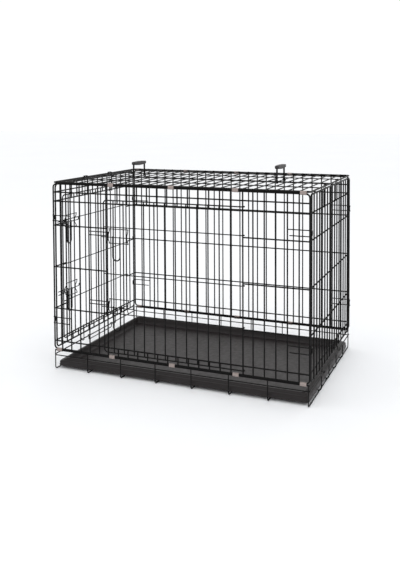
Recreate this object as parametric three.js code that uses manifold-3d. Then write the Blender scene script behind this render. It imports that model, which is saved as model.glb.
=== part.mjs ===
// Folding wire dog crate with two doors, a slide-out floor tray and two carry handles.
// Millimetres, +Z up, length along X, front towards -Y. The origin is on the floor under the middle of its box.
import * as THREE from 'three';
import { mergeVertices } from 'three/addons/utils/BufferGeometryUtils.js';
import Module from 'manifold-3d';

const wasm = await Module();
wasm.setup();

// ---- driving dimensions
const HALF_LENGTH = 531; // middle of the crate to the middle of an end frame wire
const HALF_DEPTH = 352; // middle of the crate to the middle of the front or back frame wire
const TOP_Z = 765; // middle of the top panel's frame wire
const FRAME_WIRE = 5.6;
const EDGE_WIRE = 4.2; // doorway edges and the base's uprights
const THIN_WIRE = 3.2; // doors, latches and corner stops
const GRID = { pitch: 42.87, wide: 3.4, deep: 2.4, layer: 1.4 }; // uprights outside the plane, rows inside it
const GAP = 0.4; // clearance between pieces that touch

const PANEL_BOTTOM = 84;
const PANEL_TOP = 759;
const ROWS = [725, 590, 420, 250];
const OPENING_TOP = 688;
const OPENING_BOTTOM = 116;

const END_HALF_WIDTH = 337.5;
const END_BOTTOM = 86;
const END_TOP = 755;
const END_PIVOT_Z = 60; // the base's end wires, which the end panels turn on
const END_PIVOT_WIRE = 4.6;
const HOOK_WIRE = 3.6;

const SIDE_OPENING = 282; // half the width of the side doorway
const END_OPENING = 262;
const DOOR_TOP = 703;
const DOOR_BOTTOM = 101;
const DOOR_ROWS = [598, 413, 258];
const DOOR_OVERLAP = 12; // the latch side of a door covers the edge of its opening by this much
const DOOR_RIM = 5;
const DOOR_OUT = { rim: 7.2, row: 5.6, upright: 9.2 }; // how far outside the panel's plane the wires lie
const HINGE_CLEAR = 3.7; // from the hinge wire's middle to the inside of the curls round it

const BOLT = { out: 16.4, wire: 3.6, before: 8, after: 134, tail: 9 };
const GUIDE = { out: 12.8, bow: 20.2, from: 28, to: 110, above: 32, below: 24 };
const BOLT_HANDLE = { legs: [46, 77], drop: 88, hole: 3.2, eye: 5.4, thickness: 2.4 };

const RIM_Z = 78;
const BASE_LOW_Z = 57;
const CROSS_Z = 2.1;
const LONG_Z = 5.9;
const UPRIGHT_OUT = 3.4;
const BASE_CROSS_X = 527;
const BASE_LONG_Y = [-193.5, -64.5, 64.5, 193.5];

const TRAY = { halfLength: 525, halfDepth: 342, bottom: 9.2, lip: 33, ridge: 40, wall: 3, slope: 26 };
const STOP_Y = [-90, 110];
const STOP_LOW = 43.4;
const FRONT_CLIP_X = [-264, -4, 254, 508];
const BACK_CLIP_X = [-507, -250, 7, 264];
const CLIP_WIDTH = 24;
const CLIP_PLATE = 1.2;
const HANDLE_X = 7.5 * GRID.pitch;
const HANDLE_HALF = 52;
const HANDLE_TOP = 826;

// the crate's box, from its outermost wires, so that the origin can be put under its middle
const LATCH_REACH = GUIDE.bow + THIN_WIRE / 2;
const STOP_OUT = 4.3; // corner stops' wires, outside the panel's plane
const STOP_ROUND = FRAME_WIRE / 2 + GAP + THIN_WIRE / 2; // and beyond the end frames' middles
const HOOK_CURL = END_PIVOT_WIRE / 2 + 1.8 + HOOK_WIRE / 2; // end panels' hooks, round the base's end wires
const HOOK_ROUND = HOOK_CURL + HOOK_WIRE / 2;
const CENTRE_X = (HOOK_ROUND - LATCH_REACH) / 2;
const CENTRE_Y = (STOP_OUT + THIN_WIRE / 2 - LATCH_REACH) / 2;

// ---- materials
const BLACK_WIRE = { color: 0x17171a, roughness: 0.5, metalness: 0.4 };
const BLACK_PLASTIC = { color: 0x3d3a3a, roughness: 0.62, metalness: 0 };
const GRIP_PLASTIC = { color: 0x2a2627, roughness: 0.55, metalness: 0 };
const CLIP_STEEL = { color: 0xb9b2ae, roughness: 0.3, metalness: 0.9 };

// ---- solids
function toSolid(geometry) {
  const plain = geometry.clone();
  plain.deleteAttribute('normal');
  plain.deleteAttribute('uv');
  const merged = mergeVertices(plain, 1e-4);
  return new wasm.Manifold(new wasm.Mesh({
    numProp: 3,
    vertProperties: new Float32Array(merged.attributes.position.array),
    triVerts: new Uint32Array(merged.index.array),
  }));
}

function toGeometry(solid) {
  const mesh = solid.getMesh();
  const geometry = new THREE.BufferGeometry();
  geometry.setAttribute('position', new THREE.BufferAttribute(new Float32Array(mesh.vertProperties), 3));
  geometry.setIndex(new THREE.BufferAttribute(new Uint32Array(mesh.triVerts), 1));
  geometry.computeVertexNormals();
  return geometry;
}

const join = (solids) => solids.reduce((all, next) => all.add(next));

function block(low, high) {
  const geometry = new THREE.BoxGeometry(...high.map((value, k) => value - low[k]));
  geometry.translate(...high.map((value, k) => (value + low[k]) / 2));
  return toSolid(geometry);
}

// a flat outline pushed out to a thickness on both sides of its plane
function plate(shape, thickness, curveSegments = 1) {
  const geometry = new THREE.ExtrudeGeometry(shape, { depth: thickness, bevelEnabled: false, curveSegments });
  geometry.translate(0, 0, -thickness / 2);
  return toSolid(geometry);
}

// a wire of square section bent through points of a plane, with mitred corners
function bent(points, size) {
  const path = points.map(([a, b]) => new THREE.Vector2(a, b));
  const sides = path.slice(1).map((point, k) => {
    const along = point.clone().sub(path[k]).normalize();
    return new THREE.Vector2(-along.y, along.x);
  });
  const offsets = path.map((_, k) => {
    const before = sides[Math.max(k - 1, 0)];
    const after = sides[Math.min(k, sides.length - 1)];
    return before.clone().add(after).multiplyScalar(size / 2 / (1 + before.dot(after)));
  });
  const one = path.map((point, k) => point.clone().add(offsets[k]));
  const other = path.map((point, k) => point.clone().sub(offsets[k])).reverse();
  return plate(new THREE.Shape([...one, ...other]), size);
}

// a small eye that turns on a wire along Y
function eye(inner, outer, thickness) {
  const h = thickness / 2;
  const outline = [[inner, -h], [outer, -h], [outer, h], [inner, h], [inner, -h]];
  return toSolid(new THREE.LatheGeometry(outline.map(([r, y]) => new THREE.Vector2(r, y)), 6));
}

const U = new THREE.Vector3(1, 0, 0);
const W = new THREE.Vector3(0, 1, 0);
const Z = new THREE.Vector3(0, 0, 1);

// carries a solid's own axes to the three given ones, then moves it
function carry(solid, x, y, z, at = [0, 0, 0]) {
  return solid.transform(new THREE.Matrix4().makeBasis(x, y, z).setPosition(...at).elements);
}

// pieces of a face are made in u along it, w out of the crate and z up it
const inFace = (solid, w) => carry(solid, U, Z, W, [0, w, 0]); // outline in u and z
const across = (solid, u) => carry(solid, W, Z, U, [u, 0, 0]); // outline in w and z
const level = (solid, z) => carry(solid, U, W, Z, [0, 0, z]); // outline in u and w
const onFront = (solid) => carry(solid, U, W.clone().negate(), Z, [0, -HALF_DEPTH, 0]);
const onBack = (solid) => carry(solid, U, W, Z, [0, HALF_DEPTH, 0]);
const onLeft = (solid) => carry(solid, W, U.clone().negate(), Z, [-HALF_LENGTH, 0, 0]);
const onRight = (solid) => carry(solid, W, U, Z, [HALF_LENGTH, 0, 0]);
const onTop = (solid) => carry(solid, U, Z, W, [0, 0, TOP_Z]);

// ---- wires of a face
function upright(u, z0, z1, w = GRID.layer, wide = GRID.wide, deep = GRID.deep) {
  return block([u - wide / 2, w - deep / 2, z0], [u + wide / 2, w + deep / 2, z1]);
}

function row(u0, u1, z, w = -GRID.layer, wide = GRID.wide, deep = GRID.deep) {
  return block([u0, w - deep / 2, z - wide / 2], [u1, w + deep / 2, z + wide / 2]);
}

function chamfered(u, z0, z1, cut) {
  return [
    [u, z0 + cut], [u, z1 - cut], [u - cut, z1], [cut - u, z1],
    [-u, z1 - cut], [-u, z0 + cut], [cut - u, z0], [u - cut, z0],
  ].map(([a, b]) => new THREE.Vector2(a, b));
}

// the wire round a panel, bent at its corners
function frame(half, z0, z1) {
  const r = FRAME_WIRE / 2;
  const shape = new THREE.Shape(chamfered(half + r, z0 - r, z1 + r, 10));
  shape.holes.push(new THREE.Path(chamfered(half - r, z0 + r, z1 - r, 7)));
  return inFace(plate(shape, FRAME_WIRE), 0);
}

// places of the grid wires across a long face, none on the middle, or across an end, one on the middle
const LONG_GRID = Array.from({ length: 24 }, (_, k) => (k - 11.5) * GRID.pitch);
const END_GRID = Array.from({ length: 15 }, (_, k) => (k - 7) * GRID.pitch);

// wires round a doorway: full uprights and rows beside it, short uprights above and below it
function doorwayWires(half, opening, grid, bottom, top) {
  const beside = grid.filter((u) => Math.abs(u) > opening + 10);
  const short = grid.filter((u) => Math.abs(u) < opening - 10);
  const sides = [...ROWS.slice(1), OPENING_TOP, OPENING_BOTTOM];
  return [
    ...[-opening, opening].map((u) => upright(u, bottom, top, 0, EDGE_WIRE, FRAME_WIRE)),
    ...[OPENING_BOTTOM, OPENING_TOP].map((z) => row(-opening, opening, z, 0, EDGE_WIRE, FRAME_WIRE)),
    ...beside.map((u) => upright(u, bottom, top)),
    ...short.map((u) => upright(u, bottom, OPENING_BOTTOM)),
    ...short.map((u) => upright(u, OPENING_TOP, top)),
    row(-opening, opening, ROWS[0], 0, GRID.wide, FRAME_WIRE),
    ...[ROWS[0], ...sides].flatMap((z) => [row(-half, -opening, z), row(opening, half, z)]),
  ];
}

// a panel with a doorway is cut into four grilles round it, so that each is nearly flat and the doorway is open
function roundDoorway(panel, opening) {
  const edge = opening - EDGE_WIRE / 2;
  const inner = edge - GAP;
  const middle = (OPENING_TOP + OPENING_BOTTOM) / 2;
  const parts = {
    left: block([-600, -50, 0], [-edge, 50, 800]),
    right: block([edge, -50, 0], [600, 50, 800]),
    header: block([-inner, -50, middle], [inner, 50, 800]),
    sill: block([-inner, -50, 0], [inner, 50, middle]),
  };
  return Object.entries(parts).map(([place, region]) => [place, panel.intersect(region)]);
}

// hairpins on the outside of a panel that reach round the corner and stop the end panel's frame
function cornerStops() {
  const round = HALF_LENGTH + STOP_ROUND;
  const r = THIN_WIRE / 2;
  return [-1, 1].flatMap((side) => [[609, 631], [190, 214]].flatMap(([low, high]) => [
    ...[low, high].map((z) => level(
      bent([[side * 450, STOP_OUT], [side * round, STOP_OUT], [side * round, -14]], THIN_WIRE), z)),
    upright(side * round, low - r, high + r, -14 - r, THIN_WIRE, THIN_WIRE),
  ]));
}

// ---- panels
const frontPanel = () => join([
  frame(HALF_LENGTH, PANEL_BOTTOM, PANEL_TOP),
  ...doorwayWires(HALF_LENGTH, SIDE_OPENING, LONG_GRID, PANEL_BOTTOM, PANEL_TOP),
  ...cornerStops(),
]);

const backPanel = () => onBack(join([
  frame(HALF_LENGTH, PANEL_BOTTOM, PANEL_TOP),
  ...LONG_GRID.map((u) => upright(u, PANEL_BOTTOM, PANEL_TOP)),
  ...[...ROWS, OPENING_TOP, OPENING_BOTTOM].map((z) => row(-HALF_LENGTH, HALF_LENGTH, z)),
  ...cornerStops(),
]));

const topPanel = () => onTop(join([
  frame(HALF_LENGTH, -HALF_DEPTH, HALF_DEPTH),
  ...LONG_GRID.map((u) => upright(u, -HALF_DEPTH, HALF_DEPTH)),
  ...[-1, 0, 1].map((k) => row(-HALF_LENGTH, HALF_LENGTH, (k * HALF_DEPTH) / 2)),
]));

// hooks of an end panel: hairpins over the top panel's end wire, and curls round the base's end wire
function endHooks() {
  const r = HOOK_WIRE / 2;
  const inside = -(FRAME_WIRE / 2 + GAP + r);
  const over = TOP_Z + FRAME_WIRE / 2 + GAP + r;
  const leg = [[-GRID.layer, OPENING_TOP], [inside, OPENING_TOP], [inside, over], [3, over]];
  const hook = [
    [-GRID.layer, OPENING_BOTTOM], [-HOOK_CURL, OPENING_BOTTOM], [-HOOK_CURL, END_PIVOT_Z - HOOK_CURL],
    [HOOK_CURL, END_PIVOT_Z - HOOK_CURL], [HOOK_CURL, END_PIVOT_Z + 3],
  ];
  return [
    ...[-117, -93, 93, 117].map((u) => across(bent(leg, HOOK_WIRE), u)),
    ...[-105, 105].map((u) => row(u - 12 - r, u + 12 + r, over, 3, HOOK_WIRE, HOOK_WIRE)),
    ...[-140, 140].map((u) => across(bent(hook, HOOK_WIRE), u)),
  ];
}

const leftEndPanel = () => join([
  frame(END_HALF_WIDTH, END_BOTTOM, END_TOP),
  ...doorwayWires(END_HALF_WIDTH, END_OPENING, END_GRID, END_BOTTOM, END_TOP),
  ...endHooks(),
]);

const rightEndPanel = () => onRight(join([
  frame(END_HALF_WIDTH, END_BOTTOM, END_TOP),
  ...END_GRID.map((u) => upright(u, END_BOTTOM, END_TOP)),
  ...[...ROWS.slice(1), OPENING_TOP, OPENING_BOTTOM].map((z) => row(-END_HALF_WIDTH, END_HALF_WIDTH, z)),
  ...endHooks(),
]));

// ---- doors: a bent frame and rows whose ends curl round the hinge upright of the doorway
function door(opening, uprights) {
  const latchSide = -opening - DOOR_OVERLAP;
  const cut = 10;
  const curled = (w, size, start) => {
    const reach = HINGE_CLEAR + size / 2;
    return bent([[start, w], [opening + reach, w], [opening + reach, -reach], [opening - 3, -reach]], size);
  };
  const bow = [
    [latchSide + cut, DOOR_TOP], [latchSide, DOOR_TOP - cut],
    [latchSide, DOOR_BOTTOM + cut], [latchSide + cut, DOOR_BOTTOM],
  ];
  const ends = [[latchSide + cut + 2, DOOR_TOP], ...bow, [latchSide + cut + 2, DOOR_BOTTOM]];
  const step = (opening - latchSide) / (uprights + 1);
  const places = Array.from({ length: uprights }, (_, k) => latchSide + (k + 1) * step);
  return join([
    inFace(bent(ends, DOOR_RIM), DOOR_OUT.rim),
    ...[DOOR_TOP, DOOR_BOTTOM].map((z) => level(curled(DOOR_OUT.rim, DOOR_RIM, latchSide + cut), z)),
    ...DOOR_ROWS.map((z) => level(curled(DOOR_OUT.row, THIN_WIRE, latchSide), z)),
    ...places.map((u) => upright(u, DOOR_BOTTOM, DOOR_TOP, DOOR_OUT.upright, THIN_WIRE, THIN_WIRE)),
  ]);
}

// ---- latches, from the door's free edge; z is the height of the bolt
function latchGuide(edge, z) {
  const r = THIN_WIRE / 2;
  const side = [
    [GUIDE.out, z + GUIDE.above], [GUIDE.bow, z + 8], [GUIDE.bow, z - 8], [GUIDE.out, z - GUIDE.below],
  ];
  return join([
    ...[GUIDE.from, GUIDE.to].map((u) => across(bent(side, THIN_WIRE), edge + u)),
    ...[z + GUIDE.above, z - GUIDE.below].map((height) => row(
      edge + GUIDE.from - r, edge + GUIDE.to + r, height, GUIDE.out, THIN_WIRE, THIN_WIRE)),
  ]);
}

const latchBolt = (edge, z) => inFace(bent(
  [[edge - BOLT.before, z], [edge + BOLT.after, z], [edge + BOLT.after, z + BOLT.tail]], BOLT.wire), BOLT.out);

function boltHandle(edge, z) {
  const { legs, drop, hole, eye: outer, thickness } = BOLT_HANDLE;
  const [left, right] = legs.map((u) => edge + u);
  const start = z - (hole + outer) / 2;
  const hairpin = bent([[left, start], [left, z - drop], [right, z - drop], [right, start]], THIN_WIRE);
  return join([
    inFace(hairpin, BOLT.out),
    ...[left, right].map((u) => carry(eye(hole, outer, thickness), W, U, Z, [u, BOLT.out, z])),
  ]);
}

// hairpin inside the panel whose end comes out round the doorway's edge wire
function latchKeeper(opening, start, z) {
  const r = THIN_WIRE / 2;
  const inside = -(FRAME_WIRE / 2 + GAP + r);
  const end = -opening + EDGE_WIRE / 2 + GAP + r;
  const path = [[start, -1.8], [-opening - 12, -1.8], [-opening - 7, inside], [end, inside], [end, 2]];
  return join([
    ...[z + 1, z + 15].map((height) => level(bent(path, THIN_WIRE), height)),
    upright(end, z + 1 - r, z + 15 + r, 2, THIN_WIRE, THIN_WIRE),
  ]);
}

// ---- base basket, as a floor and four sides
const CROSS_X = Array.from({ length: 8 }, (_, k) => -BASE_CROSS_X + (k * 2 * BASE_CROSS_X) / 7);

function baseFloor() {
  const r = EDGE_WIRE / 2;
  return join([
    ...CROSS_X.map((x) => block([x - r, -340.6, CROSS_Z - r], [x + r, 340.6, CROSS_Z + r])),
    ...BASE_LONG_Y.map((y) => block([-BASE_CROSS_X, y - r, LONG_Z - r], [BASE_CROSS_X + r, y + r, LONG_Z + r])),
  ]);
}

const baseFoot = (top, z, inner) => bent([[UPRIGHT_OUT, top], [UPRIGHT_OUT, z], [inner, z]], EDGE_WIRE);

const baseLongSide = () => join([
  row(-HALF_LENGTH, HALF_LENGTH, RIM_Z, 0, FRAME_WIRE, FRAME_WIRE),
  row(-HALF_LENGTH, HALF_LENGTH, BASE_LOW_Z, 0, 4, 4),
  ...CROSS_X.map((u) => across(baseFoot(RIM_Z, CROSS_Z, -11), u)),
]);

const baseEndWire = () => row(-348.8, 348.8, END_PIVOT_Z, 0, END_PIVOT_WIRE, END_PIVOT_WIRE);

const baseRightEnd = () => join([
  baseEndWire(),
  ...BASE_LONG_Y.map((u) => across(baseFoot(END_PIVOT_Z, LONG_Z, -1.5), u)),
]);

// bail on the left end wire that hangs over the tray's edge
function trayStop() {
  const [from, to] = STOP_Y;
  const start = END_PIVOT_Z - 5.2;
  return join([
    inFace(bent([[from, start], [from, STOP_LOW], [to, STOP_LOW], [to, start]], THIN_WIRE), 0),
    ...STOP_Y.map((u) => carry(eye(4, 6.4, 3), W, U, Z, [u, 0, END_PIVOT_Z])),
  ]);
}

// ---- tray
function roundedSlab(inset, radius, z0, z1) {
  const x = TRAY.halfLength - inset - radius;
  const y = TRAY.halfDepth - inset - radius;
  const shape = new THREE.Shape();
  [[x, y], [-x, y], [-x, -y], [x, -y]].forEach(([cx, cy], k) => {
    shape.absarc(cx, cy, radius, (k * Math.PI) / 2, ((k + 1) * Math.PI) / 2);
  });
  return plate(shape, z1 - z0, 4).translate([0, 0, (z0 + z1) / 2]);
}

function tray() {
  const { bottom, lip, ridge, wall, slope } = TRAY;
  return join([
    roundedSlab(slope, 20, bottom, ridge),
    roundedSlab(0, 38, lip - 11, lip).subtract(roundedSlab(wall, 35, lip - 12, lip - wall)),
  ]).subtract(roundedSlab(slope + wall, 17, bottom + wall, ridge + 1));
}

// ---- C-clips round two parallel frame wires, open to the inside
function clip(side, x, low, high) {
  const inner = FRAME_WIRE / 2 + GAP;
  const outer = inner + CLIP_PLATE;
  const [bottom, top] = [low - outer, high + outer];
  const outline = [
    [outer, bottom], [outer, top], [-outer, top], [-outer, high - 1], [-inner, high - 1], [-inner, high + inner],
    [inner, high + inner], [inner, low - inner], [-inner, low - inner], [-inner, low + 1], [-outer, low + 1],
    [-outer, bottom],
  ].map(([w, z]) => new THREE.Vector2(w, z));
  return side(across(plate(new THREE.Shape(outline), CLIP_WIDTH), x));
}

// ---- carry handles: a wire bail on one of the top panel's cross wires, with a moulded grip
function handleBail(x) {
  const pivot = TOP_Z + GRID.layer;
  const half = HANDLE_HALF;
  const path = [[-half, pivot + 4], [-half, HANDLE_TOP], [half, HANDLE_TOP], [half, pivot + 4]];
  return join([
    carry(bent(path, 4), W, Z, U, [x, 0, 0]),
    ...[-half, half].map((y) => eye(2.8, 5.2, 4).translate([x, y, pivot])),
  ]);
}

function handleGrip(x) {
  const half = HANDLE_HALF - 4;
  const shape = new THREE.Shape();
  shape.moveTo(-half, -9);
  shape.quadraticCurveTo(0, -14, half, -9);
  shape.lineTo(half, 4);
  shape.quadraticCurveTo(0, 10, -half, 4);
  shape.closePath();
  const bore = block([-half - 1, -2.4, -2.4], [half + 1, 2.4, 2.4]);
  return carry(plate(shape, 18, 6).subtract(bore), W, Z, U, [x, 0, HANDLE_TOP]);
}

// ---- assembly
const crate = new THREE.Group();
crate.position.set(-CENTRE_X, -CENTRE_Y, 0);

function add(name, solid, look) {
  const mesh = new THREE.Mesh(toGeometry(solid), new THREE.MeshStandardMaterial(look));
  mesh.name = name;
  crate.add(mesh);
}

add('base_floor_grid', baseFloor(), BLACK_WIRE);
add('base_front_side', onFront(baseLongSide()), BLACK_WIRE);
add('base_back_side', onBack(baseLongSide()), BLACK_WIRE);
add('base_left_end', onLeft(baseEndWire()), BLACK_WIRE);
add('base_right_end', onRight(baseRightEnd()), BLACK_WIRE);
add('tray_stop', onLeft(trayStop()), BLACK_WIRE);
add('tray', tray(), BLACK_PLASTIC);

for (const [place, solid] of roundDoorway(frontPanel(), SIDE_OPENING)) {
  add(`front_panel_${place}`, onFront(solid), BLACK_WIRE);
}
for (const [place, solid] of roundDoorway(leftEndPanel(), END_OPENING)) {
  const name = { left: 'front', right: 'back' }[place] ?? place;
  add(`left_end_panel_${name}`, onLeft(solid), BLACK_WIRE);
}
add('back_panel', backPanel(), BLACK_WIRE);
add('top_panel', topPanel(), BLACK_WIRE);
add('right_end_panel', rightEndPanel(), BLACK_WIRE);

const DOORS = [
  { name: 'side_door', on: onFront, opening: SIDE_OPENING, uprights: 12, keeper: -367, bolts: [560, 284] },
  { name: 'end_door', on: onLeft, opening: END_OPENING, uprights: 11, keeper: -326, bolts: [583, 294] },
];
for (const { name, on, opening, uprights, keeper, bolts } of DOORS) {
  add(name, on(door(opening, uprights)), BLACK_WIRE);
  const edge = -opening - DOOR_OVERLAP;
  ['upper', 'lower'].forEach((place, k) => {
    add(`${name}_guide_${place}`, on(latchGuide(edge, bolts[k])), BLACK_WIRE);
    add(`${name}_bolt_${place}`, on(latchBolt(edge, bolts[k])), BLACK_WIRE);
    add(`${name}_bolt_handle_${place}`, on(boltHandle(edge, bolts[k])), BLACK_WIRE);
    add(`${name}_keeper_${place}`, on(latchKeeper(opening, keeper, bolts[k])), BLACK_WIRE);
  });
}

for (const [side, x] of [['left', -HANDLE_X], ['right', HANDLE_X]]) {
  add(`carry_handle_bail_${side}`, handleBail(x), BLACK_WIRE);
  add(`carry_handle_grip_${side}`, handleGrip(x), GRIP_PLASTIC);
}

for (const [edge, side, low, high, places] of [
  ['top_front', onFront, PANEL_TOP, TOP_Z, FRONT_CLIP_X],
  ['top_back', onBack, PANEL_TOP, TOP_Z, BACK_CLIP_X],
  ['bottom_front', onFront, RIM_Z, PANEL_BOTTOM, [-508, ...FRONT_CLIP_X]],
  ['bottom_back', onBack, RIM_Z, PANEL_BOTTOM, BACK_CLIP_X],
]) {
  places.forEach((x, k) => add(`clip_${edge}_${k + 1}`, clip(side, x, low, high), CLIP_STEEL));
}

export default crate;
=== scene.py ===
import math

import bpy
from mathutils import Matrix, Vector


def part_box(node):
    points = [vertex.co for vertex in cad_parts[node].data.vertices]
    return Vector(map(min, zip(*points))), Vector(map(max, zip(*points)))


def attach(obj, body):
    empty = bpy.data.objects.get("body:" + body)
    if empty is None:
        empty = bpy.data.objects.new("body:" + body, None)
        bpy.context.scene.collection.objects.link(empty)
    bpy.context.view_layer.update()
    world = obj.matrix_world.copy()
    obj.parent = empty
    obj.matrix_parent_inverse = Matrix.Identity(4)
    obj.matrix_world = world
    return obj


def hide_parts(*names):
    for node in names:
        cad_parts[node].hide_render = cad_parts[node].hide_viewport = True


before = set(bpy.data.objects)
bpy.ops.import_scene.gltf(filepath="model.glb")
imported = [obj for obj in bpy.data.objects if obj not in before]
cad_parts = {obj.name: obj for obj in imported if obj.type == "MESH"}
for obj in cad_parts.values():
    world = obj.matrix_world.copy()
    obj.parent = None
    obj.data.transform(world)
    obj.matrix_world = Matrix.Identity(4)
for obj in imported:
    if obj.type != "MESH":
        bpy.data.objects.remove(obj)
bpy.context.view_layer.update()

# ---- sizes in metres, taken round the middle of the crate
MM = 0.001
top_low, top_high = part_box("top_panel")
MIDDLE = Vector(((top_low.x + top_high.x) / 2, (top_low.y + top_high.y) / 2, 0))
HALF_LENGTH = 531 * MM
HALF_DEPTH = 352 * MM
TOP_Z = (top_low.z + top_high.z) / 2
PITCH = 42.87 * MM  # from one upright of a panel to the next
LAYER = 2.1 * MM  # uprights lie this far outside a panel's plane, and rows this far inside

# wire diameters
FRAME_WIRE = 6.4 * MM
EDGE_WIRE = 5.8 * MM
GRID_WIRE = 5.5 * MM
TOP_WIRE = 4.4 * MM
THIN_WIRE = 4 * MM
HOOK_WIRE = 3.6 * MM
RIM_WIRE = 5.6 * MM
END_RIM_WIRE = 4.6 * MM
BASE_WIRE = 4.2 * MM
DOOR_WIRE = 5 * MM
DOOR_ROW_WIRE = 3.9 * MM
GUIDE_WIRE = 3.4 * MM
BOLT_WIRE = 3.6 * MM
HANDLE_WIRE = 5.4 * MM
BAIL_WIRE = 7.4 * MM

# panels
PANEL_BOTTOM = 84 * MM
PANEL_TOP = 759 * MM
TOP_ROW = 725 * MM
ROWS = [590 * MM, 420 * MM, 250 * MM]
OPENING_TOP = 688 * MM
OPENING_BOTTOM = 116 * MM
END_HALF_WIDTH = 337.5 * MM
END_BOTTOM = 86 * MM
END_TOP = 755 * MM
STOP_OUT = 3.9 * MM
STOP_IN = 15 * MM

# doors; a distance out is from the panel's plane to the middle of a wire
SIDE_OPENING = 282 * MM
END_OPENING = 262 * MM
DOOR_TOP = 703 * MM
DOOR_BOTTOM = 101 * MM
DOOR_ROWS = [598 * MM, 413 * MM, 258 * MM]
DOOR_OVERLAP = 12 * MM
HINGE_CLEARANCE = 3.9 * MM
DOOR_ROW_OUT = 6.1 * MM
DOOR_RIM_OUT = 7.6 * MM
DOOR_UPRIGHT_OUT = 9.1 * MM
GUIDE_OUT = 11.8 * MM
BOLT_OUT = 16.4 * MM
BOW_OUT = 20 * MM

# base basket
RIM_Z = 78 * MM
PIVOT_Z = 60 * MM
LOW_RIM_Z = 57 * MM
LENGTHWISE_Z = 5.9 * MM
CROSSWISE_Z = 2.1 * MM
CROSSWISE_START = -527 * MM
CROSSWISE_COUNT = 8
LENGTHWISE_STEP = 129 * MM
LENGTHWISE_COUNT = 4

# how finely the meshes are made
WIRE_SIDES = 12
DEGREES_PER_RING = 15
SAME_POINT = 1e-6


# ---- modelling with Blender's own tools
def deselect_all():
    bpy.ops.object.select_all(action="DESELECT")


def select_alone(obj):
    deselect_all()
    obj.select_set(True)
    bpy.context.view_layer.objects.active = obj


def settle(obj):
    """Moves an object's place, turn and scale into its mesh."""
    select_alone(obj)
    bpy.ops.object.transform_apply(location=True, rotation=True, scale=True)


def start_edit(obj):
    select_alone(obj)
    bpy.ops.object.mode_set(mode="EDIT")


def end_edit():
    bpy.ops.object.mode_set(mode="OBJECT")


def pick(obj, kind, wanted):
    """In edit mode, selects only the vertices, edges or faces that are wanted."""
    bpy.ops.mesh.select_mode(type=kind)
    bpy.ops.mesh.select_all(action="DESELECT")
    end_edit()
    elements = {"VERT": obj.data.vertices, "EDGE": obj.data.edges, "FACE": obj.data.polygons}
    for element in elements[kind]:
        element.select = wanted(element)
    start_edit(obj)


def pick_open_edges():
    bpy.ops.mesh.select_mode(type="EDGE")
    bpy.ops.mesh.select_all(action="DESELECT")
    bpy.ops.mesh.select_non_manifold()


def pick_all_edges():
    bpy.ops.mesh.select_mode(type="EDGE")
    bpy.ops.mesh.select_all(action="SELECT")


def merge_doubles(threshold=SAME_POINT):
    bpy.ops.mesh.select_all(action="SELECT")
    bpy.ops.mesh.remove_doubles(threshold=threshold)


def face_outwards():
    bpy.ops.mesh.select_all(action="SELECT")
    bpy.ops.mesh.normals_make_consistent(inside=False)


def apply_modifier(obj, kind, **settings):
    select_alone(obj)
    modifier = obj.modifiers.new(kind.lower(), kind)
    for key, value in settings.items():
        setattr(modifier, key, value)
    bpy.ops.object.modifier_apply(modifier=modifier.name)


def round_edges(obj, width, segments):
    apply_modifier(
        obj, "BEVEL", width=width, segments=segments, limit_method="ANGLE", angle_limit=math.radians(50),
    )


def joined(name, parts):
    deselect_all()
    for part in parts:
        part.select_set(True)
    whole = parts[0]
    bpy.context.view_layer.objects.active = whole
    if len(parts) > 1:
        bpy.ops.object.join()
    whole.name = name
    whole.data.name = name
    return whole


def repeated(obj, step, count):
    apply_modifier(
        obj, "ARRAY", use_relative_offset=False, use_constant_offset=True,
        constant_offset_displace=step, count=count,
    )
    return obj


# ---- wires
def bend_path(points, radius, closed):
    """Returns the start, the first direction and, for each bend, the straight length before it,
    its axis, angle and centre. The last straight length has no bend."""
    points = [Vector(p) for p in points]
    if closed:
        between = (points[0] + points[1]) / 2
        points = [between, *points[1:], points[0], between]
    first_direction = (points[1] - points[0]).normalized()
    steps = []
    at = points[0]
    for k in range(1, len(points) - 1):
        along = (points[k] - points[k - 1]).normalized()
        onward = (points[k + 1] - points[k]).normalized()
        angle = along.angle(onward)
        if angle < 1e-4:
            continue
        bends_after = 1 if k == len(points) - 2 else 2
        room = min((points[k] - at).length, (points[k + 1] - points[k]).length / bends_after)
        bend_radius = min(radius, 0.98 * room / math.tan(angle / 2))
        cut = bend_radius * math.tan(angle / 2)
        axis = along.cross(onward).normalized()
        bend_start = points[k] - along * cut
        centre = bend_start + axis.cross(along) * bend_radius
        steps.append(((bend_start - at).length, axis, angle, centre))
        at = points[k] + onward * cut
    steps.append(((points[-1] - at).length, None, 0, None))
    return points[0], first_direction, steps


def draw_along(points, radius, closed=False):
    """Carries the selected ring or edge of the mesh in edit mode along a bent path."""
    _, direction, steps = bend_path(points, radius, closed)
    for length, axis, angle, centre in steps:
        if length > 1e-7:
            bpy.ops.mesh.extrude_region_move(TRANSFORM_OT_translate={"value": direction * length})
        if axis is not None:
            rings = max(2, round(math.degrees(angle) / DEGREES_PER_RING))
            bpy.ops.mesh.spin(steps=rings, angle=-angle, center=centre, axis=axis)
            direction = Matrix.Rotation(angle, 3, axis) @ direction


def wire(points, diameter, radius, closed=False):
    """A round wire bent through points, with its ends closed."""
    start, direction, _ = bend_path(points, radius, closed)
    deselect_all()
    bpy.ops.mesh.primitive_circle_add(
        vertices=WIRE_SIDES, radius=diameter / 2, fill_type="NOTHING", location=start,
        rotation=direction.to_track_quat("Z", "Y").to_euler(),
    )
    obj = bpy.context.active_object
    settle(obj)
    start_edit(obj)
    pick_all_edges()
    draw_along(points, radius, closed)
    merge_doubles()
    if not closed:
        pick_open_edges()
        bpy.ops.mesh.edge_face_add()
    face_outwards()
    end_edit()
    return obj


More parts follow.
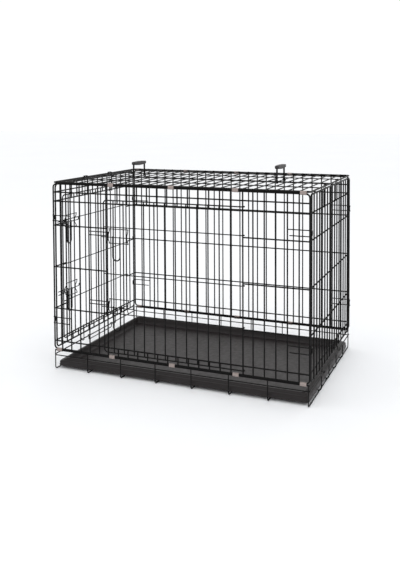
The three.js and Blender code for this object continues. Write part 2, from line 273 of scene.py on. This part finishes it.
def straight(start, end, diameter):
    """A straight cut wire with its end edges broken."""
    start, end = Vector(start), Vector(end)
    along = end - start
    deselect_all()
    bpy.ops.mesh.primitive_cylinder_add(
        vertices=WIRE_SIDES, radius=diameter / 2, depth=along.length, location=(start + end) / 2,
        rotation=along.to_track_quat("Z", "Y").to_euler(),
    )
    obj = bpy.context.active_object
    settle(obj)
    start_edit(obj)
    pick(obj, "FACE", lambda face: len(face.vertices) > 4)
    bpy.ops.mesh.bevel(offset=diameter * 0.16, segments=1)
    end_edit()
    return obj


def eye(centre, axis, radius, diameter):
    """The eye that a bail or handle turns by: wire of the diameter, bent round at the radius."""
    deselect_all()
    bpy.ops.mesh.primitive_torus_add(
        location=centre, rotation=Vector(axis).to_track_quat("Z", "Y").to_euler(),
        major_segments=20, minor_segments=8, major_radius=radius, minor_radius=diameter / 2,
    )
    obj = bpy.context.active_object
    settle(obj)
    return obj


# ---- faces of the crate: u along the face, w out of the crate, z up; on the top, z is to the back
FACES = {
    "front": Matrix(((1, 0, 0, 0), (0, -1, 0, -HALF_DEPTH), (0, 0, 1, 0), (0, 0, 0, 1))),
    "back": Matrix(((1, 0, 0, 0), (0, 1, 0, HALF_DEPTH), (0, 0, 1, 0), (0, 0, 0, 1))),
    "left": Matrix(((0, -1, 0, -HALF_LENGTH), (1, 0, 0, 0), (0, 0, 1, 0), (0, 0, 0, 1))),
    "right": Matrix(((0, 1, 0, HALF_LENGTH), (1, 0, 0, 0), (0, 0, 1, 0), (0, 0, 0, 1))),
    "top": Matrix(((1, 0, 0, 0), (0, 0, 1, 0), (0, 1, 0, TOP_Z), (0, 0, 0, 1))),
    "middle": Matrix.Identity(4),
}


def upright(u, z0, z1, w=LAYER, diameter=GRID_WIRE):
    return straight((u, w, z0), (u, w, z1), diameter)


def row(u0, u1, z, w=-LAYER, diameter=GRID_WIRE):
    return straight((u0, w, z), (u1, w, z), diameter)


def panel_frame(half, z0, z1):
    corners = [(-half, 0, z0), (half, 0, z0), (half, 0, z1), (-half, 0, z1)]
    return wire(corners, FRAME_WIRE, 15 * MM, closed=True)


def finished(obj, face, material, body, nodes):
    """Lays a piece made in a face's own directions on the crate, with its finish and body."""
    obj.matrix_world = Matrix.Translation(MIDDLE) @ FACES[face]
    settle(obj)
    start_edit(obj)
    face_outwards()
    end_edit()
    bpy.ops.object.shade_smooth_by_angle(angle=math.radians(40))
    obj.data.materials.clear()
    obj.data.materials.append(material)
    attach(obj, body)
    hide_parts(*nodes)


def finished_wires(name, parts, face, body, nodes):
    finished(joined(name, parts), face, COAT, body, nodes)


def nodes_of(start):
    return sorted(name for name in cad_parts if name.startswith(start))


def middle_x(node):
    low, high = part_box(node)
    return (low.x + high.x) / 2 - MIDDLE.x


# ---- finishes
class Finish:
    """A material on the usual shader, with its patterns on Object coordinates."""

    def __init__(self, name):
        self.material = bpy.data.materials.new(name)
        self.material.use_nodes = True
        self.nodes = self.material.node_tree.nodes
        self.links = self.material.node_tree.links
        self.shader = self.nodes["Principled BSDF"]
        self.place = self.nodes.new("ShaderNodeTexCoord").outputs["Object"]
        self.normal = None

    def set(self, socket, value):
        self.shader.inputs[socket].default_value = value

    def stretch(self, scale):
        mapping = self.nodes.new("ShaderNodeMapping")
        mapping.inputs["Scale"].default_value = scale
        self.links.new(self.place, mapping.inputs["Vector"])
        self.place = mapping.outputs["Vector"]

    def grain(self, scale, detail=3):
        noise = self.nodes.new("ShaderNodeTexNoise")
        noise.inputs["Scale"].default_value = scale
        noise.inputs["Detail"].default_value = detail
        self.links.new(self.place, noise.inputs["Vector"])
        return noise.outputs["Fac"]

    def cells(self, scale):
        cells = self.nodes.new("ShaderNodeTexVoronoi")
        cells.inputs["Scale"].default_value = scale
        self.links.new(self.place, cells.inputs["Vector"])
        return cells.outputs["Distance"]

    def colour(self, value, dark, light):
        ramp = self.nodes.new("ShaderNodeValToRGB")
        for element, position, shade in zip(ramp.color_ramp.elements, (0.3, 0.7), (dark, light)):
            element.position = position
            element.color = (*shade, 1)
        self.links.new(value, ramp.inputs["Fac"])
        self.links.new(ramp.outputs["Color"], self.shader.inputs["Base Color"])

    def roughness(self, value, smoothest, roughest):
        spread = self.nodes.new("ShaderNodeMapRange")
        spread.inputs["From Min"].default_value = 0.3
        spread.inputs["From Max"].default_value = 0.7
        spread.inputs["To Min"].default_value = smoothest
        spread.inputs["To Max"].default_value = roughest
        self.links.new(value, spread.inputs["Value"])
        self.links.new(spread.outputs["Result"], self.shader.inputs["Roughness"])

    def bump(self, value, strength, distance):
        """Adds a bump over those before it."""
        bump = self.nodes.new("ShaderNodeBump")
        bump.inputs["Strength"].default_value = strength
        bump.inputs["Distance"].default_value = distance
        self.links.new(value, bump.inputs["Height"])
        if self.normal is not None:
            self.links.new(self.normal, bump.inputs["Normal"])
        self.normal = bump.outputs["Normal"]
        self.links.new(self.normal, self.shader.inputs["Normal"])


def black_coat():
    """Black electro-coat over steel wire: slightly uneven, with a faint orange peel."""
    finish = Finish("black_wire_coat")
    finish.colour(finish.grain(14), (0.002, 0.0018, 0.0018), (0.004, 0.0036, 0.0036))
    finish.set("Specular IOR Level", 0.13)
    finish.roughness(finish.grain(120), 0.38, 0.54)
    finish.bump(finish.grain(900, detail=2), 0.25, 0.3 * MM)
    return finish.material


def tray_plastic():
    """Pressed black-brown plastic sheet with a fine hair-cell grain."""
    finish = Finish("tray_plastic")
    broad = finish.grain(5, detail=4)
    finish.colour(broad, (0.0135, 0.0108, 0.011), (0.019, 0.0155, 0.0158))
    finish.set("Specular IOR Level", 0.25)
    finish.roughness(finish.grain(60), 0.36, 0.48)
    finish.bump(broad, 0.15, 1 * MM)
    finish.bump(finish.cells(420), 0.3, 0.4 * MM)
    return finish.material


def grip_plastic():
    """Moulded grey-black plastic with a spark-eroded surface."""
    finish = Finish("grip_plastic")
    finish.colour(finish.grain(30), (0.02, 0.018, 0.0185), (0.032, 0.029, 0.03))
    finish.roughness(finish.grain(200), 0.42, 0.6)
    finish.bump(finish.grain(1500, detail=2), 0.3, 0.2 * MM)
    return finish.material


def clip_steel():
    """Bright zinc on a pressed strip, with fine streaks along the wires that it holds."""
    finish = Finish("clip_steel")
    finish.set("Metallic", 1.0)
    finish.stretch((1, 12, 12))
    streaks = finish.grain(160, detail=4)
    finish.colour(streaks, (0.24, 0.195, 0.18), (0.42, 0.36, 0.34))
    finish.roughness(streaks, 0.22, 0.42)
    finish.bump(streaks, 0.2, 0.3 * MM)
    return finish.material


COAT = black_coat()
TRAY = tray_plastic()
GRIP = grip_plastic()
CLIP = clip_steel()


# ---- long panels and the top
def long_uprights(first, count, z0, z1, diameter=GRID_WIRE):
    """Uprights of a long panel or of the top, counted from the left end; 24 fill it."""
    u = (first - 11.5) * PITCH
    return repeated(upright(u, z0, z1, LAYER, diameter), (PITCH, 0, 0), count)


def corner_stops():
    """Hairpins on the outside that reach round the corner and stop the end panel."""
    round_end = HALF_LENGTH + 5.2 * MM
    parts = []
    for side in (-1, 1):
        for lower, upper in ((609 * MM, 631 * MM), (190 * MM, 214 * MM)):
            parts.append(wire([
                (side * 458 * MM, STOP_OUT, lower), (side * round_end, STOP_OUT, lower),
                (side * round_end, -STOP_IN, lower), (side * round_end, -STOP_IN, upper),
                (side * round_end, STOP_OUT, upper), (side * 450 * MM, STOP_OUT, upper),
            ], THIN_WIRE, 9 * MM))
    return parts


def doorway(half, opening, bottom, top):
    """Edge wires, and the rows beside and above the doorway."""
    end = half + 1.5 * MM
    parts = [upright(u, bottom - 1 * MM, top + 1 * MM, 0, EDGE_WIRE) for u in (-opening, opening)]
    parts += [row(-opening, opening, z, 0, EDGE_WIRE) for z in (OPENING_BOTTOM, OPENING_TOP)]
    parts.append(row(-end, end, TOP_ROW))
    for z in (*ROWS, OPENING_TOP, OPENING_BOTTOM):
        parts += [row(-end, -opening, z), row(opening, end, z)]
    return parts


finished_wires("front_panel_wires", [
    panel_frame(HALF_LENGTH, PANEL_BOTTOM, PANEL_TOP),
    long_uprights(0, 5, PANEL_BOTTOM, PANEL_TOP), long_uprights(19, 5, PANEL_BOTTOM, PANEL_TOP),
    long_uprights(6, 12, PANEL_BOTTOM, OPENING_BOTTOM), long_uprights(6, 12, OPENING_TOP, PANEL_TOP),
    *doorway(HALF_LENGTH, SIDE_OPENING, PANEL_BOTTOM, PANEL_TOP), *corner_stops(),
], "front", "crate", nodes_of("front_panel"))

finished_wires("back_panel_wires", [
    panel_frame(HALF_LENGTH, PANEL_BOTTOM, PANEL_TOP), long_uprights(0, 24, PANEL_BOTTOM, PANEL_TOP),
    *[row(-HALF_LENGTH, HALF_LENGTH, z) for z in (TOP_ROW, *ROWS, OPENING_TOP, OPENING_BOTTOM)],
    *corner_stops(),
], "back", "crate", ["back_panel"])

top_reach = HALF_LENGTH + 2.4 * MM
finished_wires("top_panel_wires", [
    panel_frame(HALF_LENGTH, -HALF_DEPTH, HALF_DEPTH),
    long_uprights(0, 24, -HALF_DEPTH, HALF_DEPTH, TOP_WIRE),
    *[row(-top_reach, top_reach, k * HALF_DEPTH / 2, -LAYER, TOP_WIRE) for k in (-1, 0, 1)],
], "top", "crate", ["top_panel"])


# ---- end panels
def end_uprights(first, count, z0, z1, apart=1):
    """Uprights of an end panel; the first and the distance apart are in pitches."""
    return repeated(upright(first * PITCH, z0, z1), (apart * PITCH, 0, 0), count)


def end_hooks():
    """Hairpins over the top panel's end wire, and curls round the base's end wire."""
    hairpin_bottom = 682 * MM
    over = TOP_Z + 5 * MM
    inside, outside = -5 * MM, 2.9 * MM
    curl = 5.9 * MM
    parts = []
    for side in (-1, 1):
        near, far = side * 93 * MM, side * 117 * MM
        parts.append(wire([
            (near, inside, hairpin_bottom), (near, inside, over), (near, outside, over),
            (far, outside, over), (far, inside, over), (far, inside, hairpin_bottom),
        ], HOOK_WIRE, 4 * MM))
        u = side * 140 * MM
        parts.append(wire([
            (u, -5.4 * MM, 124 * MM), (u, -curl, PIVOT_Z - curl), (u, curl, PIVOT_Z - curl),
            (u, curl, PIVOT_Z + 3 * MM),
        ], HOOK_WIRE, 5.6 * MM))
    return parts


finished_wires("left_end_panel_wires", [
    panel_frame(END_HALF_WIDTH, END_BOTTOM, END_TOP), end_uprights(-7, 2, END_BOTTOM, END_TOP, apart=14),
    end_uprights(-5, 11, END_BOTTOM, OPENING_BOTTOM), end_uprights(-5, 11, OPENING_TOP, END_TOP),
    *doorway(END_HALF_WIDTH, END_OPENING, END_BOTTOM, END_TOP), *end_hooks(),
], "left", "crate", nodes_of("left_end_panel"))

finished_wires("right_end_panel_wires", [
    panel_frame(END_HALF_WIDTH, END_BOTTOM, END_TOP), end_uprights(-7, 15, END_BOTTOM, END_TOP),
    *[row(-END_HALF_WIDTH, END_HALF_WIDTH, z) for z in (*ROWS, OPENING_TOP, OPENING_BOTTOM)],
    *end_hooks(),
], "right", "crate", ["right_end_panel"])


# ---- base basket: crosswise wires turn up at both sides, and lengthwise ones at the right end
def crosswise_wires():
    out = HALF_DEPTH + 3.4 * MM
    first = wire([
        (CROSSWISE_START, -out, RIM_Z), (CROSSWISE_START, -out, CROSSWISE_Z),
        (CROSSWISE_START, out, CROSSWISE_Z), (CROSSWISE_START, out, RIM_Z),
    ], BASE_WIRE, 10 * MM)
    step = -2 * CROSSWISE_START / (CROSSWISE_COUNT - 1)
    return repeated(first, (step, 0, 0), CROSSWISE_COUNT)


def lengthwise_wires():
    out = HALF_LENGTH + 5 * MM
    y = -LENGTHWISE_STEP * (LENGTHWISE_COUNT - 1) / 2
    first = wire([
        (CROSSWISE_START, y, LENGTHWISE_Z), (out, y, LENGTHWISE_Z), (out, y, PIVOT_Z),
    ], BASE_WIRE, 11 * MM)
    return repeated(first, (0, LENGTHWISE_STEP, 0), LENGTHWISE_COUNT)


def base_rims():
    parts = []
    for side in (-1, 1):
        for z, diameter in ((RIM_Z, RIM_WIRE), (LOW_RIM_Z, BASE_WIRE)):
            y = side * HALF_DEPTH
            parts.append(straight((-HALF_LENGTH, y, z), (HALF_LENGTH, y, z), diameter))
    for side in (-1, 1):
        x = side * HALF_LENGTH
        parts.append(straight((x, -HALF_DEPTH, PIVOT_Z), (x, HALF_DEPTH, PIVOT_Z), END_RIM_WIRE))
    return parts


finished_wires("base_basket", [crosswise_wires(), lengthwise_wires(), *base_rims()], "middle", "crate", [
    "base_floor_grid", "base_front_side", "base_back_side", "base_left_end", "base_right_end",
])


# ---- doors and their latches; edge is the latch side of the door's rim
def door_leaf(opening, edge, upright_count):
    def hinge_end(out, diameter, z):
        """The points of a wire that is wrapped round the doorway's edge wire."""
        reach = HINGE_CLEARANCE + diameter / 2
        return [(opening + reach, out, z), (opening + reach, -reach, z), (opening - 3 * MM, -reach, z)]

    rim = [
        *reversed(hinge_end(DOOR_RIM_OUT, DOOR_WIRE, DOOR_TOP)),
        (edge, DOOR_RIM_OUT, DOOR_TOP), (edge, DOOR_RIM_OUT, DOOR_BOTTOM),
        *hinge_end(DOOR_RIM_OUT, DOOR_WIRE, DOOR_BOTTOM),
    ]
    parts = [wire(rim, DOOR_WIRE, 14 * MM)]
    for z in DOOR_ROWS:
        wrapped = hinge_end(DOOR_ROW_OUT, DOOR_ROW_WIRE, z)
        parts.append(wire([(edge, DOOR_ROW_OUT, z), *wrapped], DOOR_ROW_WIRE, 5 * MM))
    step = (opening - edge) / (upright_count + 1)
    first = upright(edge + step, DOOR_BOTTOM, DOOR_TOP, DOOR_UPRIGHT_OUT, DOOR_WIRE)
    parts.append(repeated(first, (step, 0, 0), upright_count))
    return parts


def bolt_guide(edge, z):
    """Two bows that the bolt runs under, on two short rows welded to the door."""
    parts = []
    for u in (edge + 28 * MM, edge + 110 * MM):
        parts.append(wire([
            (u, GUIDE_OUT, z + 34 * MM), (u, GUIDE_OUT, z + 24 * MM), (u, BOW_OUT, z + 8 * MM),
            (u, BOW_OUT, z - 8 * MM), (u, GUIDE_OUT, z - 20 * MM), (u, GUIDE_OUT, z - 26 * MM),
        ], GUIDE_WIRE, 5 * MM))
    for height in (z + 32 * MM, z - 24 * MM):
        parts.append(row(edge + 25 * MM, edge + 113 * MM, height, GUIDE_OUT, GUIDE_WIRE))
    return parts


def slide_bolt(edge, z):
    """A rod with its tail turned up."""
    tip, tail = edge - 8 * MM, edge + 134 * MM
    points = [(tip, BOLT_OUT, z), (tail, BOLT_OUT, z), (tail, BOLT_OUT, z + 10 * MM)]
    return [wire(points, BOLT_WIRE, 4 * MM)]


def bolt_handle(edge, z):
    """A loop that hangs on the bolt by two eyes."""
    near, far = edge + 46 * MM, edge + 77 * MM
    top, bottom = z - 4.2 * MM, z - 91 * MM
    return [
        wire([
            (near, BOLT_OUT, top), (near, BOLT_OUT, bottom), (far, BOLT_OUT, bottom), (far, BOLT_OUT, top),
        ], HANDLE_WIRE, 15 * MM),
        *[eye((u, BOLT_OUT, z), (1, 0, 0), 4.1 * MM, 2.4 * MM) for u in (near, far)],
    ]


def keeper(opening, start, z):
    """A hairpin with its legs welded inside the panel, and its bend in the doorway for the bolt."""
    shallow, deep = -2 * MM, -5 * MM
    end = -opening + 4.4 * MM
    route = [
        (start, shallow), (-opening - 12 * MM, shallow),
        (-opening - 7 * MM, deep), (end, deep), (end, 2 * MM),
    ]
    low_leg = [(u, w, z + 1 * MM) for u, w in route]
    high_leg = [(u, w, z + 15 * MM) for u, w in reversed(route)]
    return [wire(low_leg + high_leg, THIN_WIRE, 3 * MM)]


# each door's name, face, half opening, uprights, start of its keepers, and heights of its bolts
DOORS = [
    ("side_door", "front", SIDE_OPENING, 12, -367 * MM, {"upper": 560 * MM, "lower": 284 * MM}),
    ("end_door", "left", END_OPENING, 11, -326 * MM, {"upper": 583 * MM, "lower": 294 * MM}),
]
for door, face, opening, upright_count, keeper_start, bolts in DOORS:
    edge = -opening - DOOR_OVERLAP
    leaf = f"{door}_leaf"
    finished_wires(f"{door}_wires", door_leaf(opening, edge, upright_count), face, leaf, [door])
    for place, z in bolts.items():
        name = f"{door}_{place}"
        finished_wires(f"{name}_guide_wires", bolt_guide(edge, z), face, leaf, [f"{door}_guide_{place}"])
        finished_wires(
            f"{name}_bolt_rod", slide_bolt(edge, z), face,
            f"{name}_bolt", [f"{door}_bolt_{place}"],
        )
        finished_wires(
            f"{name}_bolt_handle_wire", bolt_handle(edge, z), face,
            f"{name}_bolt_handle", [f"{door}_bolt_handle_{place}"],
        )
        finished_wires(
            f"{name}_keeper_wire", keeper(opening, keeper_start, z), face,
            "crate", [f"{door}_keeper_{place}"],
        )


# ---- tray stop: a bail that hangs on the left end wire
def tray_stop():
    near, far = -90 * MM, 110 * MM
    top, bottom = PIVOT_Z - 5 * MM, 43.4 * MM
    return [
        wire([(near, 0, top), (near, 0, bottom), (far, 0, bottom), (far, 0, top)], THIN_WIRE, 5 * MM),
        *[eye((u, 0, PIVOT_Z), (1, 0, 0), 4.9 * MM, 3 * MM) for u in (near, far)],
    ]


finished_wires("tray_stop_wire", tray_stop(), "left", "tray_stop", ["tray_stop"])


# ---- tray: a sheet pressed up from its floor through ring after ring
# each ring, in mm: how far it is outside the floor's edge, and how high above the floor
TRAY_RINGS = [
    (4, 1), (7, 5), (10, 15), (11.5, 23.5), (13, 26.8), (15.5, 27.8), (19, 27), (21, 24.4), (23, 23.6),
    (26.5, 23), (28.5, 20.6), (30.5, 20), (34, 19.4), (37, 17.5), (38.6, 14.5), (39, 11), (38.4, 8.5),
    (38.4, 6.5), (39.6, 4.4), (39.8, 0.5), (39.2, -1.2),
]


def pressed_tray():
    half_x, half_y, floor_z = 485 * MM, 302 * MM, 11.5 * MM
    deselect_all()
    bpy.ops.mesh.primitive_plane_add(size=2, location=(0, 0, floor_z))
    obj = bpy.context.active_object
    obj.scale = (half_x, half_y, 1)
    settle(obj)
    start_edit(obj)
    bpy.ops.mesh.select_mode(type="VERT")
    bpy.ops.mesh.select_all(action="SELECT")
    bpy.ops.mesh.bevel(offset=14 * MM, segments=7, affect="VERTICES")
    pick_open_edges()
    x, y, z = half_x, half_y, 0.0
    for out, up in TRAY_RINGS:
        new_x, new_y = half_x + out * MM, half_y + out * MM
        bpy.ops.mesh.extrude_region_move(TRANSFORM_OT_translate={"value": (0, 0, up * MM - z)})
        bpy.ops.transform.resize(value=(new_x / x, new_y / y, 1), center_override=(0, 0, floor_z))
        x, y, z = new_x, new_y, up * MM
    face_outwards()
    end_edit()
    apply_modifier(obj, "SOLIDIFY", thickness=2.2 * MM, offset=-1)
    return obj


finished(joined("floor_tray", [pressed_tray()]), "middle", TRAY, "tray", ["tray"])


# ---- carry handles
def handle_bail(x, pivot_z, grip_z):
    half, inset = 52 * MM, 2 * MM
    foot_z = pivot_z + 4 * MM
    return [
        wire([
            (x, -half, foot_z), (x, -half + inset, grip_z), (x, half - inset, grip_z), (x, half, foot_z),
        ], BAIL_WIRE, 8 * MM),
        *[eye((x, y, pivot_z), (0, 1, 0), 5 * MM, 4.8 * MM) for y in (-half, half)],
    ]


def handle_grip(x, grip_z):
    """A crowned moulding as wide as the bail, with a fuller middle below for the fingers."""
    half, cuts = 53.5 * MM, 7
    deselect_all()
    bpy.ops.mesh.primitive_cube_add(size=2, location=(x, 0, grip_z))
    obj = bpy.context.active_object
    obj.scale = (8.8 * MM, half, 6.6 * MM)
    settle(obj)

    def runs_lengthwise(edge):
        one, other = (obj.data.vertices[k].co for k in edge.vertices)
        return abs(one.y - other.y) > half

    def on_ring(y, below):
        return lambda vertex: abs(vertex.co.y - y) < MM and (vertex.co.z < grip_z) == below

    start_edit(obj)
    pick(obj, "EDGE", runs_lengthwise)
    bpy.ops.mesh.subdivide(number_cuts=cuts)
    for k in range(cuts + 2):
        y = (2 * k / (cuts + 1) - 1) * half
        crown = 1 - (y / half) ** 2
        for below, shift in ((True, -(0.4 + 3.4 * crown) * MM), (False, (-1.6 + 1.8 * crown) * MM)):
            pick(obj, "VERT", on_ring(y, below))
            bpy.ops.transform.translate(value=(0, 0, shift))
    end_edit()
    round_edges(obj, 3.2 * MM, 4)
    return obj


for side in ("left", "right"):
    bail_node, grip_node = f"carry_handle_bail_{side}", f"carry_handle_grip_{side}"
    body = f"carry_handle_{side}"
    x = middle_x(bail_node)
    pivot_z = TOP_Z + 1.6 * MM
    grip_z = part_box(bail_node)[1].z - 2 * MM
    finished_wires(f"{body}_bail_wire", handle_bail(x, pivot_z, grip_z), "middle", body, [bail_node])
    grip = joined(f"{body}_moulded_grip", [handle_grip(x, grip_z)])
    finished(grip, "middle", GRIP, body, [grip_node])


# ---- C-clips: a strip of steel rolled round two frame wires
def rolled_clip(x, side, low_z, high_z):
    """side is -1 on the front and 1 on the back; the mouth faces the inside."""
    width, reach = 24 * MM, 3.8 * MM
    y = side * HALF_DEPTH
    inner = y - side * 3.2 * MM
    outer = y + side * reach
    low_lip, high_lip = low_z + 1 * MM, high_z - 1 * MM
    deselect_all()
    bpy.ops.mesh.primitive_plane_add(size=1, location=(x, inner, low_lip))
    obj = bpy.context.active_object
    obj.scale = (width, 0.5 * MM, 1)
    settle(obj)
    start_edit(obj)
    bpy.ops.mesh.select_mode(type="VERT")
    merge_doubles(0.6 * MM)  # closes the narrow plane to the strip's end edge
    pick_all_edges()
    draw_along([
        (x, inner, low_lip), (x, inner, low_z - reach), (x, outer, low_z - reach),
        (x, outer, high_z + reach), (x, inner, high_z + reach), (x, inner, high_lip),
    ], 3.2 * MM)
    merge_doubles()
    face_outwards()
    end_edit()
    apply_modifier(obj, "SOLIDIFY", thickness=1.1 * MM, offset=0)
    round_edges(obj, 0.3 * MM, 2)
    return obj


def clip_copy(model, along):
    """A copy with its own mesh, that far along the frame wires."""
    copy = model.copy()
    copy.data = model.data.copy()
    bpy.context.collection.objects.link(copy)
    copy.parent = None
    copy.matrix_world = Matrix.Translation((along, 0, 0))
    settle(copy)
    return copy


CLIP_EDGES = {
    "clip_bottom_back": (1, RIM_Z, PANEL_BOTTOM), "clip_bottom_front": (-1, RIM_Z, PANEL_BOTTOM),
    "clip_top_back": (1, PANEL_TOP, TOP_Z), "clip_top_front": (-1, PANEL_TOP, TOP_Z),
}
for clip_edge, (side, low_z, high_z) in CLIP_EDGES.items():
    first_node, *other_nodes = nodes_of(clip_edge)
    first_x = middle_x(first_node)
    first_clip = rolled_clip(first_x, side, low_z, high_z)
    strips = {first_node: first_clip}
    for node in other_nodes:
        strips[node] = clip_copy(first_clip, middle_x(node) - first_x)
    for node, strip in strips.items():
        strip.name = f"{node}_strip"
        finished(strip, "middle", CLIP, "crate", [node])


# ---- studio
def studio_floor():
    deselect_all()
    bpy.ops.mesh.primitive_plane_add(size=60, location=(0, 0, 0))
    floor = bpy.context.active_object
    floor.name = "studio_floor"
    finish = Finish("studio_floor")
    finish.colour(finish.grain(0.6), (0.94, 0.953, 0.975), (0.955, 0.968, 0.985))
    finish.set("Roughness", 0.9)
    floor.data.materials.append(finish.material)


def studio_light():
    scene = bpy.context.scene
    scene.world = scene.world or bpy.data.worlds.new("studio")
    scene.world.use_nodes = True
    sky = scene.world.node_tree.nodes["Background"]
    sky.inputs["Color"].default_value = (1.0, 1.0, 1.0, 1)
    sky.inputs["Strength"].default_value = 1.03
    scene.view_settings.view_transform = "Standard"
    aim = Vector((0, 0, 0.35))
    lamps = [
        ("key", (-2.2, -2.4, 3.6), 2.6, 14),
        ("fill", (3.2, -2.0, 2.4), 3.0, 6),
        ("top", (0.2, 0.6, 4.2), 3.5, 10),
    ]
    for name, place, size, power in lamps:
        data = bpy.data.lights.new(name, "AREA")
        data.size = size
        data.energy = power
        lamp = bpy.data.objects.new(name, data)
        lamp.location = place
        lamp.rotation_euler = (aim - Vector(place)).to_track_quat("-Z", "Y").to_euler()
        scene.collection.objects.link(lamp)


def studio_camera():
    azimuth, elevation, roll = math.radians(-22.62), math.radians(-2.28), math.radians(-0.269)
    place = Vector((1.1492, -2.8329, 1.0503)) + MIDDLE
    forward = Vector((
        math.sin(azimuth) * math.cos(elevation),
        math.cos(azimuth) * math.cos(elevation),
        math.sin(elevation),
    ))
    data = bpy.data.cameras.new("camera")
    data.lens = 45.85895
    data.shift_y = -0.254386
    data.clip_end = 100
    camera = bpy.data.objects.new("camera", data)
    aimed = forward.to_track_quat("-Z", "Y").to_matrix().to_4x4() @ Matrix.Rotation(roll, 4, "Z")
    camera.matrix_world = Matrix.Translation(place) @ aimed
    bpy.context.scene.collection.objects.link(camera)
    bpy.context.scene.camera = camera


studio_floor()
studio_light()
studio_camera()
